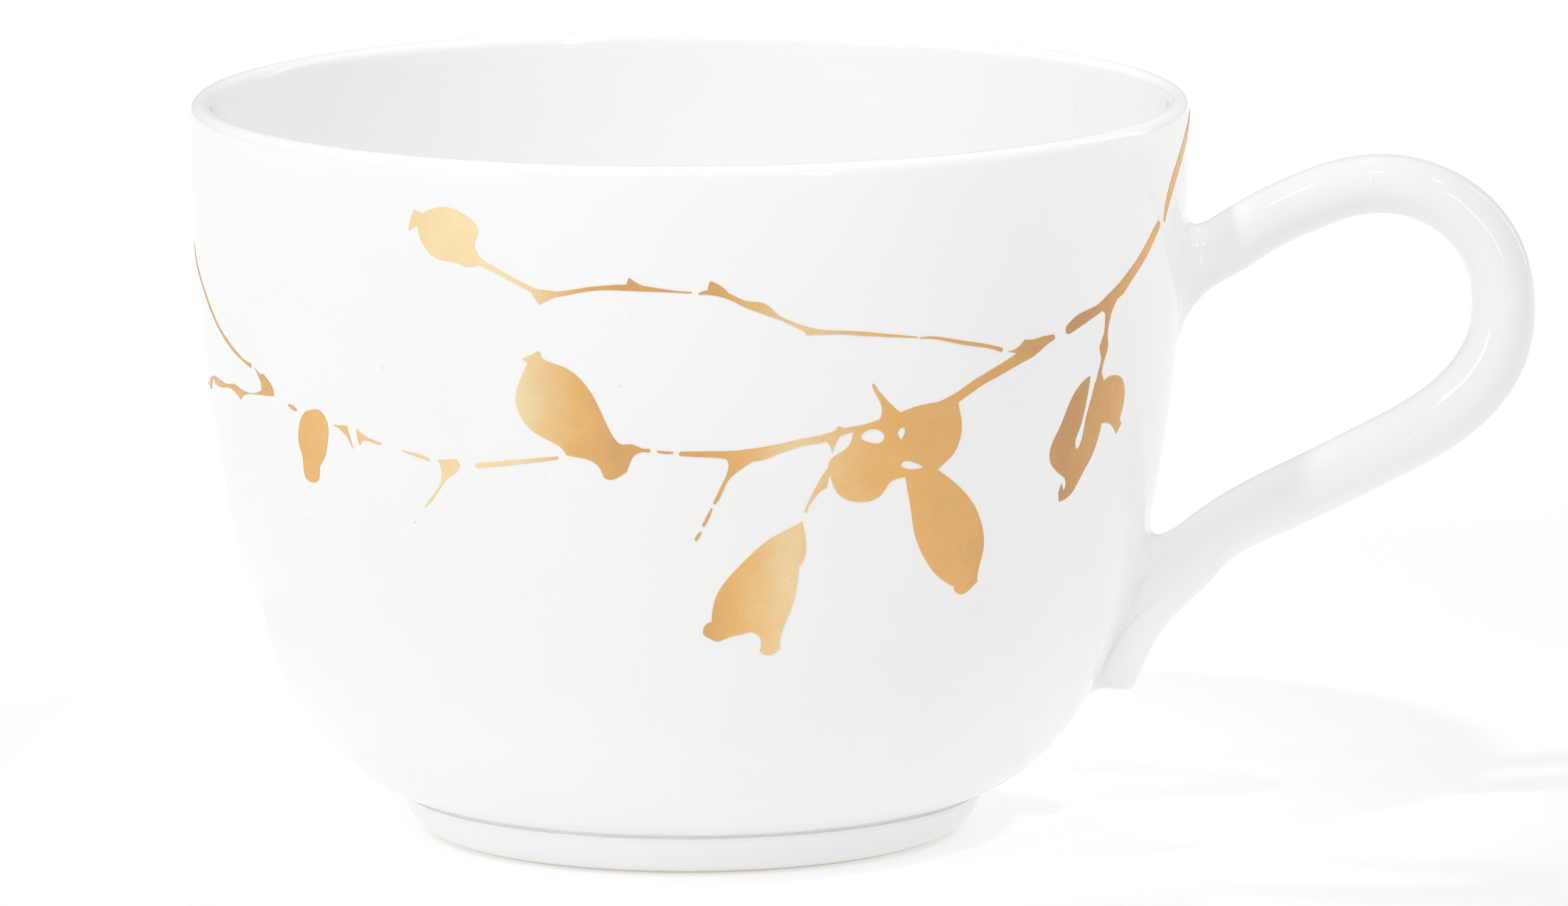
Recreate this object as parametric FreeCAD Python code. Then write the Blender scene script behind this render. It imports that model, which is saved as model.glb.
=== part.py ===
import FreeCAD, Part
import math
import os

from FreeCAD import Vector

# A porcelain teacup with a slender loop handle and a fired-on gold branch.
# Millimetres. Z is up from the surface that the cup stands on, and the cup's axis is X = Y = 0.
# The handle reaches out along +X, and the front of the cup faces -Y.

# Bowl
cup_height = 66.7            # standing surface to the top of the lip
rim_radius = 44.95           # outside of the wall at the lip
lip_thickness = 1.95         # wall at the lip, which is a full round
belly_floor = 2.4            # height at which the outer curve would close on the axis
belly_bend = 1.85            # how early the outer curve turns in, going down
belly_square = 5.8           # how square the outer curve's lower corner is
well_floor = 6.6             # height of the inside floor on the axis
well_bend = 1.5              # the same two shape numbers for the inner curve
well_square = 6.9
base_height = 3.2            # underside of the base, next to the foot ring
base_rise = 0.35             # how much higher the underside is on the axis

# Foot ring
seat_height = 3.95           # crease where the bowl sits on its foot
foot_inner_radius = 19.4     # inside of the ring at its seat
foot_spread = 3.5            # outside of the standing rim, past that radius
foot_rim_width = 2.1         # width of the standing rim, which is bare of glaze
foot_edge_radius = 0.4       # rounding of the standing rim's two edges
foot_bulge = 0.5             # how far the ring's outer wall swells out past a straight cone
ledge_height = 0.5           # height of the ledge at the top of the ring
ledge_step = 0.12            # step in from the ledge to the ring's outer wall
foot_slip = 0.2              # slip between the ring and the bowl
foot_slip_recess = 0.15      # how far the slip stays back from the crease

# Handle
rod_half_height = 2.75       # half of the rod, measured across it in the handle's plane
rod_half_width = 3.0         # half of the rod, measured along Y
handle_standoff = 31.2       # outermost point of the handle, past the rim's radius
handle_top_drop = 5.4        # highest point of the handle, below the top of the lip
handle_low_share = 0.3898    # height at which the lower arm reaches its root, as a share of the cup's
upper_root_share = 0.7373    # middle of the upper root, as a share of the way from there to the top
upper_root_flare = 0.1229    # how much the root grows towards the wall, up and down, as such a share
handle_slip = 0.3            # slip between the handle's ends and the wall
bead_rise = 0.9              # how far the squeezed-out slip stands off the wall
bead_width = 1.0             # how far it reaches past the handle's root

# Gold
film_thickness = 0.05
drawn_rim_radius = 44.95     # the films are drawn on a bowl of this rim radius, and stretch with the bowl
drawn_lip_base = 65.725      # and of this height up to the base of the lip

# Construction
curve_stations = 36          # points worked out along each of the bowl's curves
ring_points = 12             # points round each section of the handle
outline_step = 0.012         # how far a film's outline may cut a corner
prism_near = 12.0            # a film's blank starts this far in front of the axis
prism_far = 60.0             # and ends this far in front of it

os.makedirs("parts", exist_ok=True)
lip_base = cup_height - lip_thickness / 2
foot_base_radius = foot_inner_radius + foot_spread
up = Vector(0, 0, 1)


# The bowl's curves: a superellipse corner that stands upright at the lip and closes on the axis.
def curve_height(share, floor, bend, square):
    """Height at which the curve has this share of its full radius."""
    depth = max(0.0, 1 - share ** square) ** (1 / bend)
    return lip_base - (lip_base - floor) * depth


def curve_share(z, floor, bend, square):
    """Share of its full radius that the curve has at this height."""
    depth = min(1.0, max(0.0, (lip_base - z) / (lip_base - floor)))
    return (1 - depth ** bend) ** (1 / square)


def wall_radius(z):
    return rim_radius * curve_share(z, belly_floor, belly_bend, belly_square)


def curve_points(radius, floor, bend, square, lowest, offset=0.0):
    """Points from the lowest height up to the lip, moved out along the curve's normal."""
    start = math.asin(curve_share(lowest, floor, bend, square))
    step = 0.0005
    points = []
    for i in range(curve_stations + 1):
        angle = start + (math.pi / 2 - start) * i / curve_stations
        share = math.sin(angle)
        near = math.sin(angle - step)
        z = curve_height(share, floor, bend, square)
        if offset:
            along = math.hypot(radius * (share - near), z - curve_height(near, floor, bend, square))
            out = (z - curve_height(near, floor, bend, square)) / along
            down = radius * (share - near) / along
            points.append(Vector(radius * share + offset * out, 0, z - offset * down))
        else:
            points.append(Vector(radius * share, 0, z))
    return points


def outer_points(offset=0.0):
    return curve_points(rim_radius, belly_floor, belly_bend, belly_square, seat_height, offset)


# Small helpers
def line(a, b):
    return Part.LineSegment(a, b).toShape()


def arc(a, b, c):
    return Part.Arc(a, b, c).toShape()


def smooth(points, closed=False):
    """Smooth edge through the points, or a straight one when there are two."""
    if len(points) == 2:
        return line(points[0], points[1])
    curve = Part.BSplineCurve()
    curve.interpolate(Points=points, PeriodicFlag=closed)
    return curve.toShape()


def revolved(edges, angle=360.0):
    face = Part.Face(Part.Wire(edges))
    return face.revolve(Vector(0, 0, 0), up, angle)


def save(name, shape):
    solids = shape.Solids
    if not solids or not all(solid.isValid() for solid in solids):
        raise ValueError(name + " is not made of sound solids")
    kept = solids[0] if len(solids) == 1 else Part.makeCompound(solids)
    kept.exportStep("parts/" + name + ".step")
    print(name, len(solids), "solid(s),", round(kept.Volume, 3), "mm3")


def wall_body(offset):
    """All that lies inside the bowl's outer curve, moved out by the offset, as one solid."""
    points = outer_points(offset)
    low = Vector(0, 0, points[0].z)
    high = Vector(0, 0, points[-1].z)
    return revolved([smooth(points), line(points[-1], high), line(high, low), line(low, points[0])])


def make_bowl():
    outside = outer_points()
    inside = curve_points(rim_radius - lip_thickness, well_floor, well_bend, well_square, well_floor)
    lip_top = Vector(rim_radius - lip_thickness / 2, 0, cup_height)
    base_middle = Vector(0, 0, base_height + base_rise)
    base_between = Vector(foot_inner_radius / 2, 0, base_height + base_rise * 0.75)
    base_edge = Vector(foot_inner_radius, 0, base_height)
    seat_inner = Vector(foot_inner_radius, 0, seat_height)
    return revolved([
        smooth(outside),
        arc(outside[-1], lip_top, inside[-1]),
        smooth(inside),
        line(inside[0], base_middle),
        arc(base_middle, base_between, base_edge),
        line(base_edge, seat_inner),
        line(seat_inner, outside[0]),
    ])


def make_foot_ring():
    crease = wall_radius(seat_height)
    top = seat_height - foot_slip
    ledge_foot = top - ledge_height
    wall_top = Vector(crease - ledge_step, 0, ledge_foot)
    edge = foot_edge_radius
    bevel = edge * (1 - math.sqrt(0.5))
    wall_foot = Vector(foot_base_radius, 0, edge)
    middle = (wall_top + wall_foot) * 0.5 + Vector(foot_bulge, 0, -foot_bulge)
    rim_inner = foot_base_radius - foot_rim_width
    rim_outside = Vector(foot_base_radius - edge, 0, 0)
    rim_inside = Vector(rim_inner + edge, 0, 0)
    return revolved([
        line(Vector(foot_inner_radius, 0, top), Vector(crease, 0, top)),
        line(Vector(crease, 0, top), Vector(crease, 0, ledge_foot)),
        line(Vector(crease, 0, ledge_foot), wall_top),
        arc(wall_top, middle, wall_foot),
        arc(wall_foot, Vector(foot_base_radius - bevel, 0, bevel), rim_outside),
        line(rim_outside, rim_inside),
        arc(rim_inside, Vector(rim_inner + bevel, 0, bevel), Vector(rim_inner, 0, edge)),
        line(Vector(rim_inner, 0, edge), Vector(foot_inner_radius, 0, top)),
    ])


def make_foot_slip():
    outer = wall_radius(seat_height) - foot_slip_recess
    low = seat_height - foot_slip
    disc = Part.makeCylinder(outer, foot_slip, Vector(0, 0, low))
    return disc.cut(Part.makeCylinder(foot_inner_radius, foot_slip, Vector(0, 0, low)))


# Handle. A station is a point of the centreline (x, z) with the half height and half width there.
def handle_stations():
    reach = handle_standoff - rod_half_height
    low = cup_height * handle_low_share
    rise = cup_height - handle_top_drop - rod_half_height - low
    tall = rod_half_height
    wide = rod_half_width
    high = low + rise * upper_root_share
    # The upper root leaves the wall as a tall oval and narrows to the rod.
    root = [
        (wall_radius(high) - 4.0, high - 0.8, tall + rise * upper_root_flare, wide + 1.6),
        (wall_radius(high) + 0.9, high + 1.35, tall + 0.2, wide + 0.5),
    ]
    # The loop: how far out and how high, as shares of the way to its outermost and highest points, and how
    # full the rod is there.
    loop = [
        (0.11, 0.825, 1.0), (0.22, 0.885, 0.98), (0.375, 0.95, 0.98), (0.535, 0.993, 0.97),
        (0.69, 0.99, 0.97), (0.86, 0.92, 0.99), (0.96, 0.81, 1.01), (0.996, 0.665, 1.04),
        (0.967, 0.52, 1.08), (0.85, 0.382, 1.08), (0.62, 0.255, 1.06), (0.37, 0.147, 1.05),
        (0.21, 0.08, 1.02),
    ]
    # The lower root turns down the wall and thins out as a tongue.
    tongue = [
        (wall_radius(low) + 6.3, low + 0.4, tall - 0.08, wide + 0.05),
        (wall_radius(low - 2.3) + 3.95, low - 2.25, tall + 0.2, wide + 0.2),
        (wall_radius(low - 5) + 1.7, low - 5.0, tall + 0.3, wide + 0.3),
        (wall_radius(low - 9.7) + 0.8, low - 9.7, tall, wide),
        (wall_radius(low - 12.4) + 1.05, low - 12.7, tall - 0.3, wide - 0.5),
    ]
    rod = [(rim_radius + reach * out, low + rise * height, tall * full, wide * full)
           for out, height, full in loop]
    return root + rod + tongue


def section(centre, along, half_height, half_width):
    """Oval wire across the centreline, in the plane square to it."""
    side = Vector(0, 1, 0)
    across = side.cross(along)
    points = []
    for i in range(ring_points):
        angle = 2 * math.pi * i / ring_points
        offset = across * (half_height * math.cos(angle)) + side * (half_width * math.sin(angle))
        points.append(centre + offset)
    return Part.Wire([smooth(points, closed=True)])


def rod(stations, first, last, grow=0.0, longer=0.0):
    """Solid from one station to another, grown all round, and longer past its last station."""
    centres = [Vector(x, 0, z) for x, z, height, width in stations]
    path = Part.BSplineCurve()
    path.interpolate(Points=centres)
    wires = []
    for i in range(first, last + 1):
        x, z, height, width = stations[i]
        along = Vector(*path.tangent(path.parameter(centres[i]))[0])
        wires.append(section(centres[i], along, height + grow, width + grow))
    if longer:
        wires.append(section(centres[last] + along * longer, along, height + grow, width + grow))
    return Part.makeLoft(wires, True, False)


def make_handle(stations):
    return rod(stations, 0, len(stations) - 1).cut(wall_body(handle_slip))


def make_slip_joint(stations, handle, first, last, longer=0.0):
    """Slip that fills the gap behind a root and stands round it as a bead."""
    fat_root = rod(stations, first, last, bead_width, longer)
    return fat_root.common(wall_body(bead_rise)).cut(wall_body(0.0)).cut(handle)


# Gold films. Each shape is drawn flat in front of the bowl, at y = 0, with u sideways and z up, and is
# then cut out of the thin skin on the wall and turned round the axis to its place. A turn of 0 degrees is
# the front, and turns grow towards the handle.
def at(point):
    return Vector(point[0] * rim_radius / drawn_rim_radius, 0, point[1] * lip_base / drawn_lip_base)


def flat_face(edges):
    """Flat face inside a loop of edges, with its curves taken as short straight steps."""
    corners = []
    for edge in Part.sortEdges(edges)[0]:
        steps = edge.discretize(QuasiDeflection=outline_step)
        if edge.Orientation == "Reversed":
            steps.reverse()
        corners += steps[:-1]
    return Part.Face(Part.makePolygon(corners + corners[:1]))


def spot(points):
    """Closed smooth shape."""
    return flat_face([smooth([at(p) for p in points], closed=True)])


def outline(*runs):
    """Closed shape of smooth runs that meet at corners. Each run starts where the one before ends."""
    edges = []
    for i, run in enumerate(runs):
        following = runs[(i + 1) % len(runs)]
        edges.append(smooth([at(p) for p in run] + [at(following[0])]))
    return flat_face(edges)


def twig(*stations):
    """Brush stroke through (u, z, width) stations, with rounded ends."""
    middle = [at(s) for s in stations]
    left = []
    right = []
    for i, s in enumerate(stations):
        ahead = middle[min(i + 1, len(middle) - 1)] - middle[max(i - 1, 0)]
        ahead.normalize()
        across = Vector(-ahead.z, 0, ahead.x) * (s[2] / 2)
        left.append(middle[i] + across)
        right.append(middle[i] - across)
        if i == 0:
            start_tip = middle[i] - ahead * (s[2] / 2)
        end_tip = middle[i] + ahead * (s[2] / 2)
    right.reverse()
    return flat_face([
        smooth(left), arc(left[-1], end_tip, right[0]), smooth(right), arc(right[-1], start_tip, left[0]),
    ])


skin_inside = wall_body(0.0)
skin_outside = wall_body(film_thickness)


def blank(face):
    """Prism of a flat shape, long enough to pass through the front wall."""
    prism = face.extrude(Vector(0, prism_near - prism_far, 0))
    prism.translate(Vector(0, -prism_near, 0))
    return prism


def lay_film(name, groups):
    """Writes one node of film. Each group is (turn, shapes to join, shapes to leave bare)."""
    solids = []
    for turn, shapes, bare in groups:
        block = blank(shapes[0])
        if len(shapes) > 1:
            block = block.fuse([blank(shape) for shape in shapes[1:]]).removeSplitter()
        for hole in bare:
            block = block.cut(blank(hole))
        film = block.common(skin_outside).cut(skin_inside)
        film.rotate(Vector(0, 0, 0), up, turn)
        solids += film.Solids
    save(name, Part.makeCompound(solids))


def gold_upper_twig_left():
    berry = spot([
        (-11.3, 60.4), (-10.9, 61.7), (-9.6, 62.4), (-8.0, 62.5), (-6.5, 61.9), (-5.4, 60.6),
        (-5.8, 59.2), (-5.2, 58.0), (-6.5, 57.4), (-7.6, 57.7), (-9.4, 57.9), (-10.7, 58.9),
    ])
    crown = outline(
        [(-10.6, 61.8)],
        [(-11.7, 62.1)],
        [(-12.0, 61.3)],
        [(-12.3, 60.2)],
        [(-11.5, 60.7)],
        [(-10.6, 60.4)],
    )
    stem = twig(
        (-6.3, 58.4, 0.8), (-4.6, 57.6, 0.5), (-2.9, 56.8, 0.4), (-1.2, 56.0, 0.4), (0.4, 55.4, 0.5),
        (4.0, 55.8, 0.35), (6.8, 56.1, 0.45), (8.4, 56.1, 0.55), (10.9, 55.9, 0.28), (13.4, 55.7, 0.14),
    )
    knob = outline([(-0.6, 55.6), (-0.2, 54.9)], [(0.2, 54.4), (1.0, 54.8)], [(2.2, 55.5), (0.8, 55.7)])
    thorn = outline([(8.0, 56.0), (8.0, 56.5)], [(8.2, 57.0), (8.9, 56.5)], [(10.1, 56.0)])
    lay_film("gold_upper_twig_left", [(-17, [berry, crown, stem, knob, thorn], [])])


def gold_upper_twig_right():
    stem = twig(
        (-9.0, 55.6, 0.18), (-7.3, 55.6, 0.5), (-6.0, 55.1, 0.48), (-5.0, 54.6, 0.57),
        (-3.8, 54.3, 0.89), (-3.0, 53.9, 0.75), (-2.2, 53.4, 0.35), (-0.7, 52.7, 0.31),
        (0.6, 52.1, 0.5), (3.4, 51.8, 0.31), (5.2, 51.6, 0.36), (7.6, 51.3, 0.27), (10.6, 50.9, 0.1),
    )
    thorn = outline(
        [(-8.3, 55.6), (-8.25, 56.2)],
        [(-8.1, 56.7), (-7.8, 56.6)],
        [(-6.5, 55.6), (-7.4, 55.4)],
    )
    knee = outline([(-0.2, 52.6), (0.1, 52.1)], [(0.4, 51.7), (1.0, 51.7)], [(1.8, 52.0), (0.9, 52.3)])
    tail = twig(
        (10.9, 50.8, 0.1), (12.4, 50.7, 0.22), (14.4, 50.2, 0.31), (16.1, 49.8, 0.36),
        (18.4, 49.2, 0.33), (18.9, 49.0, 0.4),
    )
    lay_film("gold_upper_twig_right", [(13, [stem, thorn, knee], []), (13, [tail], [])])


def gold_main_branch():
    branch = twig(
        (21.0, 49.4, 0.55), (20.1, 49.2, 0.9), (18.8, 48.7, 1.4), (17.3, 48.0, 1.05),
        (15.4, 47.2, 0.93), (13.3, 46.4, 0.88), (11.1, 45.2, 0.9), (9.0, 44.3, 1.1), (6.7, 43.7, 1.2),
        (4.4, 43.6, 0.9), (2.9, 43.35, 0.5), (1.4, 43.1, 0.46), (-0.3, 42.8, 0.58), (-2.0, 42.3, 0.67),
        (-3.7, 42.1, 0.65), (-4.9, 41.8, 0.73), (-6.1, 41.5, 0.92), (-7.2, 41.2, 1.14),
        (-8.3, 41.1, 1.08), (-9.5, 41.1, 0.85), (-10.8, 41.2, 0.6), (-12.1, 41.25, 0.52),
        (-14.0, 41.3, 0.4),
    )
    burr = outline(
        [(16.1, 48.75), (17.0, 48.9)],
        [(17.9, 49.6), (18.7, 49.5)],
        [(19.6, 49.5), (19.0, 48.6)],
        [(17.8, 48.3), (17.0, 48.5)],
    )
    fork = outline(
        [(-11.2, 41.2), (-10.3, 40.9), (-10.0, 40.3), (-10.1, 39.5), (-10.5, 38.4)],
        [(-11.2, 36.8)],
        [(-11.0, 36.7), (-10.4, 37.9), (-9.9, 39.0), (-9.0, 39.8), (-8.0, 40.5)],
        [(-6.8, 40.9)],
    )
    knot = outline([(-1.0, 42.6)], [(-0.4, 43.4)], [(0.6, 43.0)])
    thorn_down = outline([(-1.7, 42.3), (-1.2, 41.8)], [(-0.9, 41.0), (-0.7, 41.6)], [(-0.1, 42.7)])
    thorn_up = outline(
        [(2.7, 43.4), (3.5, 43.9), (3.6, 44.8), (3.1, 45.9)],
        [(2.6, 47.0)],
        [(2.8, 47.0), (3.4, 46.2), (4.2, 45.3)],
        [(5.6, 44.1)],
    )
    right_berry = outline(
        [(11.0, 44.9), (11.3, 43.7), (11.5, 42.7), (11.4, 41.4), (10.8, 40.1), (9.9, 39.3)],
        [(9.1, 38.7), (7.7, 38.2), (6.1, 38.6), (4.8, 40.0), (4.0, 41.8), (4.2, 43.4), (5.3, 44.2),
         (7.0, 44.7), (9.0, 44.9)],
    )
    left_berry = outline(
        [(-1.2, 39.9), (-0.7, 40.7), (0.0, 41.1), (0.7, 41.7), (0.9, 42.3)],
        [(1.1, 43.1), (2.9, 43.4)],
        [(4.9, 43.2), (6.0, 41.0)],
        [(7.0, 38.8), (6.1, 38.4), (5.3, 38.3), (4.6, 38.0), (3.9, 37.0), (3.0, 36.5), (2.0, 36.4),
         (0.9, 36.6), (-0.2, 37.3), (-0.8, 38.4)],
    )
    leaf = outline(
        [(6.0, 38.9), (6.4, 37.0), (6.8, 35.3), (7.3, 33.0), (8.3, 30.9), (9.5, 29.3), (10.7, 28.3)],
        [(11.6, 27.8), (11.9, 27.2), (12.5, 27.0), (13.3, 27.4)],
        [(14.0, 28.0), (14.0, 28.9), (14.4, 30.9), (14.1, 33.2), (12.9, 35.5), (11.4, 37.1)],
        [(9.2, 38.8)],
    )
    twiglet = twig(
        (-0.7, 40.0, 0.6), (-1.3, 39.1, 0.55), (-1.7, 38.4, 0.65), (-2.1, 37.7, 0.5),
        (-2.5, 37.1, 0.33), (-3.1, 35.8, 0.2),
    )
    lump = outline([(-1.4, 39.1), (-1.2, 38.6)], [(-1.3, 37.9)], [(-1.9, 37.6), (-2.0, 38.4)])
    bare = [
        spot([
            (1.7, 42.4), (2.1, 42.8), (2.9, 42.95), (3.6, 42.7), (3.9, 42.3), (3.8, 41.8), (3.2, 41.6),
            (2.4, 41.8),
        ]),
        spot([(5.2, 42.3), (5.4, 42.8), (5.7, 42.9), (5.9, 42.6), (5.8, 42.2), (5.5, 41.8)]),
        outline(
            [(7.9, 39.1), (7.2, 39.5), (6.4, 39.8), (5.8, 39.8)],
            [(5.6, 39.4), (6.2, 39.1), (7.2, 39.0)],
        ),
    ]
    shapes = [branch, burr, fork, knot, thorn_down, thorn_up, right_berry, left_berry, leaf, twiglet, lump]
    lay_film("gold_main_branch", [(18, shapes, bare)])


def gold_lower_leaf():
    leaf = outline(
        [(4.8, 34.9), (4.1, 34.5), (3.0, 34.1), (1.9, 33.4), (0.7, 32.4), (-0.6, 31.1), (-1.9, 29.6),
         (-2.6, 28.4), (-2.9, 27.3)],
        [(-3.0, 25.9), (-3.7, 25.3), (-3.7, 24.8), (-3.2, 24.4), (-2.3, 24.1), (-1.7, 24.4),
         (-0.4, 24.7), (0.5, 24.9), (1.1, 24.6), (1.4, 24.0)],
        [(1.3, 23.1), (2.0, 22.7), (2.7, 22.9)],
        [(3.1, 23.3), (3.1, 24.2), (3.6, 25.9), (4.2, 27.6), (4.5, 29.5)],
        [(4.6, 30.8), (5.0, 31.4), (5.2, 32.6), (5.1, 33.7)],
    )
    lay_film("gold_lower_leaf", [(7, [leaf], [])])


def gold_left_berry():
    berry = outline(
        [(-5.4, 49.5), (-4.7, 49.8)],
        [(-4.0, 50.2), (-3.75, 50.2)],
        [(-3.7, 49.8), (-3.2, 49.4), (-2.6, 49.2), (-1.4, 48.8), (-0.3, 48.0), (0.8, 46.6), (1.8, 44.5),
         (2.6, 42.8), (3.3, 42.1), (4.3, 42.1), (4.9, 41.85)],
        [(5.7, 41.75), (5.85, 41.55)],
        [(5.6, 41.4), (4.9, 41.4), (4.4, 41.1), (4.0, 40.4)],
        [(3.7, 39.6), (2.9, 39.1), (2.1, 38.9), (1.7, 39.1), (1.5, 39.6), (0.9, 40.4), (-0.3, 40.8)],
        [(-1.6, 41.0), (-2.0, 41.6), (-3.0, 42.2), (-4.1, 42.7), (-5.2, 43.6), (-5.8, 44.5),
         (-6.1, 45.8), (-5.9, 46.9), (-5.4, 48.1)],
        [(-4.9, 49.1)],
    )
    lay_film("gold_left_berry", [(-12, [berry], [])])


def gold_left_stem():
    bar = twig((-2.4, 39.6, 0.45), (1.7, 40.2, 0.42), (5.1, 40.7, 0.28))
    lay_film("gold_left_stem", [(-22, [bar], [])])


def gold_left_spur():
    spur = outline(
        [(-6.4, 39.8)],
        [(-4.5, 40.0), (-4.2, 39.4), (-4.5, 38.9), (-5.5, 38.2), (-6.2, 37.4), (-7.1, 36.2)],
        [(-8.1, 35.3), (-7.2, 36.4), (-6.2, 37.8), (-6.0, 38.7)],
    )
    lay_film("gold_left_spur", [(-22, [spur], [])])


def gold_broken_stem():
    wedge = outline([(-5.3, 41.8)], [(-3.5, 41.9), (-3.3, 41.1)], [(-3.0, 39.9), (-3.7, 41.0)])
    fork = outline(
        [(-2.3, 41.8), (-1.8, 41.4), (-1.1, 41.1)],
        [(0.5, 40.8)],
        [(0.45, 40.65), (-0.9, 40.8), (-1.6, 40.8)],
        [(-2.1, 40.3), (-2.3, 41.0)],
    )
    dash = twig((2.7, 40.3, 0.06), (4.1, 40.1, 0.26), (5.0, 39.9, 0.33), (5.6, 39.7, 0.17))
    fleck = twig((-11.3, 42.8, 0.27), (-10.9, 42.7, 0.38), (-10.3, 42.5, 0.22))
    lay_film("gold_broken_stem", [(-39, [wedge], []), (-39, [fork], []), (-39, [dash], []),
                                  (-39, [fleck], [])])


def gold_left_bud():
    bud = spot([
        (-7.7, 42.9), (-6.6, 42.7), (-6.0, 41.8), (-6.0, 41.0), (-6.4, 39.6), (-7.1, 38.3),
        (-7.7, 37.6), (-7.8, 36.8), (-8.2, 36.3), (-9.0, 36.1), (-9.8, 36.4), (-10.0, 37.2),
        (-9.95, 38.3), (-10.3, 39.4), (-10.2, 40.6), (-9.6, 41.9), (-8.8, 42.6),
    ])
    lay_film("gold_left_bud", [(-39, [bud], [])])


def gold_side_twig_lower():
    hook = outline(
        [(3.7, 45.4)],
        [(4.6, 45.0)],
        [(5.2, 45.1), (6.2, 44.5), (6.7, 43.9)],
        [(6.7, 43.3), (5.8, 43.2), (4.5, 43.1)],
        [(0.5, 42.5)],
        [(-0.2, 42.0), (-0.8, 42.3), (-1.8, 42.6), (-4.3, 42.5)],
        [(-8.2, 42.4), (-10.0, 42.1), (-12.0, 41.3)],
        [(-12.2, 41.6), (-10.2, 42.5)],
        [(-8.4, 42.9), (-5.8, 42.9), (-3.6, 42.9), (-1.3, 43.2), (-0.1, 43.0), (1.0, 42.9)],
        [(3.9, 43.3), (4.7, 43.9), (4.5, 44.5)],
    )
    lay_film("gold_side_twig_lower", [(-66, [hook], [])])


def gold_side_twig_upper():
    curve = twig(
        (-22.0, 55.2, 0.2), (-18.5, 53.9, 0.3), (-14.0, 52.4, 0.28), (-10.2, 51.0, 0.28),
        (-7.0, 49.3, 0.29), (-4.0, 47.7, 0.28), (-2.0, 46.9, 0.33), (0.3, 46.1, 0.28),
        (2.2, 45.65, 0.25), (2.8, 45.55, 0.4),
    )
    lay_film("gold_side_twig_upper", [(-66, [curve], [])])


def gold_fork_dashes():
    upper = twig((-0.2, 36.3, 0.14), (-0.5, 35.6, 0.27), (-0.9, 34.8, 0.23))
    lower = twig((-1.1, 34.2, 0.08), (-1.4, 33.8, 0.3), (-1.55, 33.5, 0.25))
    side = twig((-4.9, 41.5, 0.16), (-4.2, 41.4, 0.25), (-3.6, 41.4, 0.14))
    lay_film("gold_fork_dashes", [(3, [upper], []), (3, [lower], []), (3, [side], [])])


def gold_rim_branch():
    branch = twig(
        (20.5, 65.3, 0.3), (18.2, 64.9, 0.6), (16.1, 64.2, 0.87), (13.6, 63.1, 1.1), (10.7, 61.5, 1.2),
        (8.8, 60.1, 1.2), (7.5, 58.7, 0.9), (6.9, 57.4, 0.3),
    )
    lay_film("gold_rim_branch", [(62, [branch], [])])


def gold_right_branch():
    branch = twig(
        (14.4, 57.2, 0.8), (13.1, 56.3, 0.97), (11.0, 54.8, 1.04), (8.6, 53.4, 1.1), (6.6, 52.2, 1.4),
        (5.0, 51.5, 1.45), (3.7, 51.1, 1.1), (1.7, 50.8, 0.95), (-0.7, 49.9, 0.9),
    )
    web = outline([(3.9, 51.2), (5.0, 50.4)], [(5.4, 50.2), (6.1, 51.2)], [(7.4, 52.4), (5.6, 52.0)])
    stem = twig(
        (5.3, 51.2, 1.0), (5.1, 50.2, 0.8), (4.9, 48.6, 0.65), (4.75, 47.5, 1.3), (4.75, 46.6, 0.55),
        (4.5, 45.7, 0.45), (4.3, 44.6, 0.7),
    )
    leaf = outline(
        [(2.9, 45.2), (1.5, 44.6), (0.4, 43.5), (-1.0, 40.9), (-1.9, 39.3), (-1.9, 38.4), (-0.8, 37.1)],
        [(0.5, 36.3), (0.8, 35.7)],
        [(0.6, 35.0)],
        [(0.15, 35.8)],
        [(-0.1, 35.0)],
        [(0.1, 34.2), (0.9, 34.3), (2.0, 34.9), (2.9, 36.1), (4.2, 37.6), (5.1, 39.4)],
        [(5.4, 40.6), (6.7, 40.4)],
        [(8.3, 39.2)],
        [(9.1, 40.1)],
        [(8.6, 40.5), (9.1, 41.8), (9.1, 43.1), (8.5, 44.1), (7.1, 44.7), (5.9, 44.7)],
        [(5.2, 44.4)],
        [(4.6, 45.4)],
        [(3.8, 44.5), (3.3, 42.9), (2.7, 40.9), (2.3, 39.1), (1.9, 38.7), (1.5, 39.2), (1.9, 40.5),
         (2.5, 42.5), (2.8, 44.0)],
    )
    lay_film("gold_right_branch", [(50, [branch, web, stem, leaf], [])])


# The side away from the front carries on in the same hand: a berry where the thin side twig ends, a leaf
# beyond the lower side twig, and a sprig with a leaf and two buds across the back.
def gold_back_berry():
    berry = spot([
        (2.9, 57.6), (2.2, 59.2), (0.7, 60.3), (-1.2, 60.5), (-2.7, 59.6), (-3.2, 58.0), (-2.4, 56.5),
        (-0.8, 55.8), (1.2, 55.9),
    ])
    crown = outline([(-2.4, 59.9)], [(-4.0, 60.8)], [(-3.7, 59.6)], [(-4.8, 58.8)], [(-3.0, 58.2)])
    stem = twig((9.1, 55.4, 0.2), (6.6, 56.1, 0.3), (4.4, 56.8, 0.5), (2.0, 57.7, 0.9))
    lay_film("gold_back_berry", [(-108, [berry, crown, stem], [])])


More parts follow.
